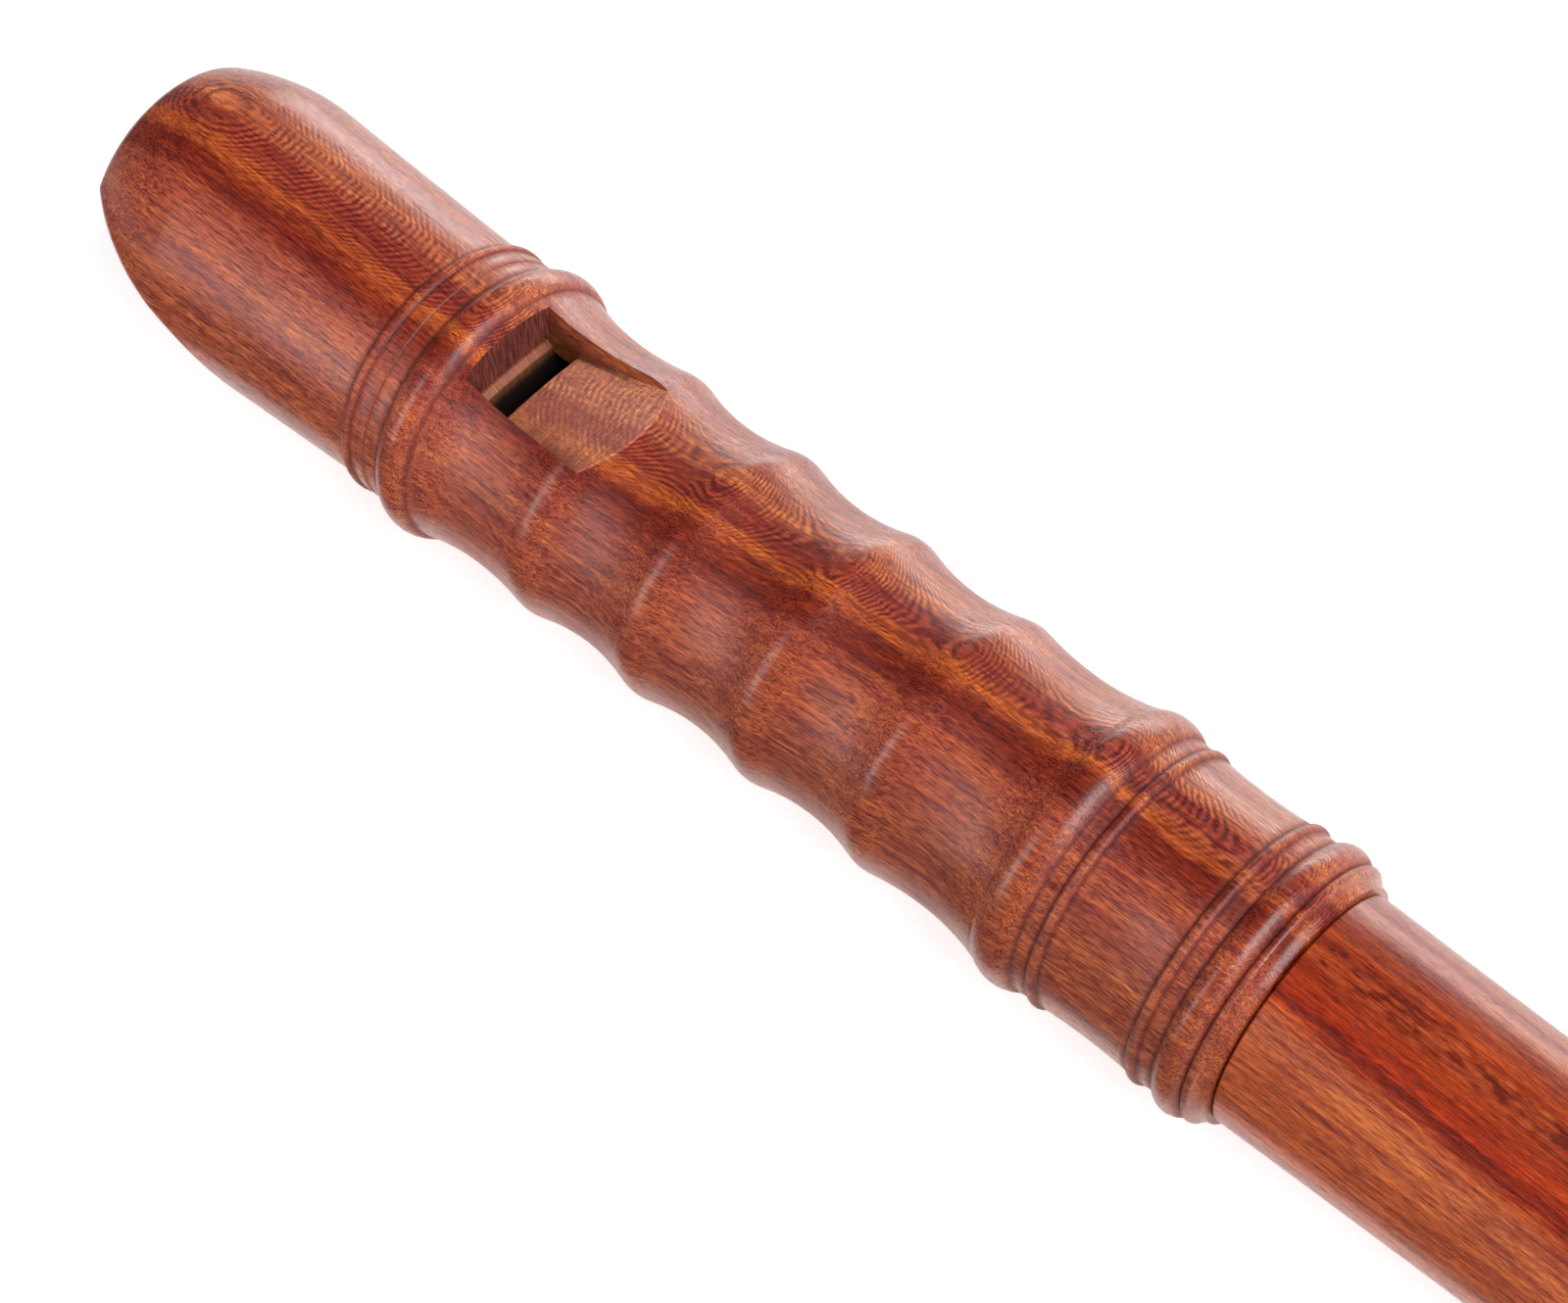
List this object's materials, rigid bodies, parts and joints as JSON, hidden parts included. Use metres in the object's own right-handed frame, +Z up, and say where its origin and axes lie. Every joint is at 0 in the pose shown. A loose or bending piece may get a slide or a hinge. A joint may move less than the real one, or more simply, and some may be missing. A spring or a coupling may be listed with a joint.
{
  "type": "alto recorder",
  "caption": "Baroque-style alto recorder in turned reddish hardwood, with a ringed and waved head, a beak with block, a slender middle joint and a belled foot.",
  "frame": {"origin": "on the surface it lies on, under the middle of the whole instrument's length", "axes": "+X along the bore from the beak to the foot, +Z up through the window and the finger holes, +Y across, to the left of someone who looks from the beak to the foot"},
  "size_m": [0.4914, 0.0352, 0.0351],
  "materials": {
    "wood": "satin, oiled",
    "middle_wood": "satin, oiled",
    "block_wood": "matte, unoiled",
    "cork": "matte, greased"
  },
  "bodies": {
    "middle": {"middle_joint": "middle_wood"},
    "upper_cork": {"upper_tenon_cork": "cork"},
    "head": {"head_joint": "wood"},
    "block": {"block": "block_wood"},
    "lower_cork": {"lower_tenon_cork": "cork"},
    "foot": {"foot_joint": "wood"}
  },
  "joints": [
    {"name": "head_twist", "type": "hinge", "parent": "middle", "child": "upper_cork", "pos_m": [-0.08995, 0, 0.01758], "axis": [1, 0, 0], "continuous": true},
    {"name": "head_pull", "type": "slide", "parent": "upper_cork", "child": "head", "axis": [-1, 0, 0], "range_m": [0, 0.045]},
    {"name": "block_push", "type": "slide", "parent": "head", "child": "block", "axis": [-1, 0, 0], "range_m": [0, 0.06]},
    {"name": "foot_twist", "type": "hinge", "parent": "middle", "child": "lower_cork", "pos_m": [0.15895, 0, 0.01758], "axis": [1, 0, 0], "continuous": true},
    {"name": "foot_pull", "type": "slide", "parent": "lower_cork", "child": "foot", "axis": [1, 0, 0], "range_m": [0, 0.045]}
  ]
}
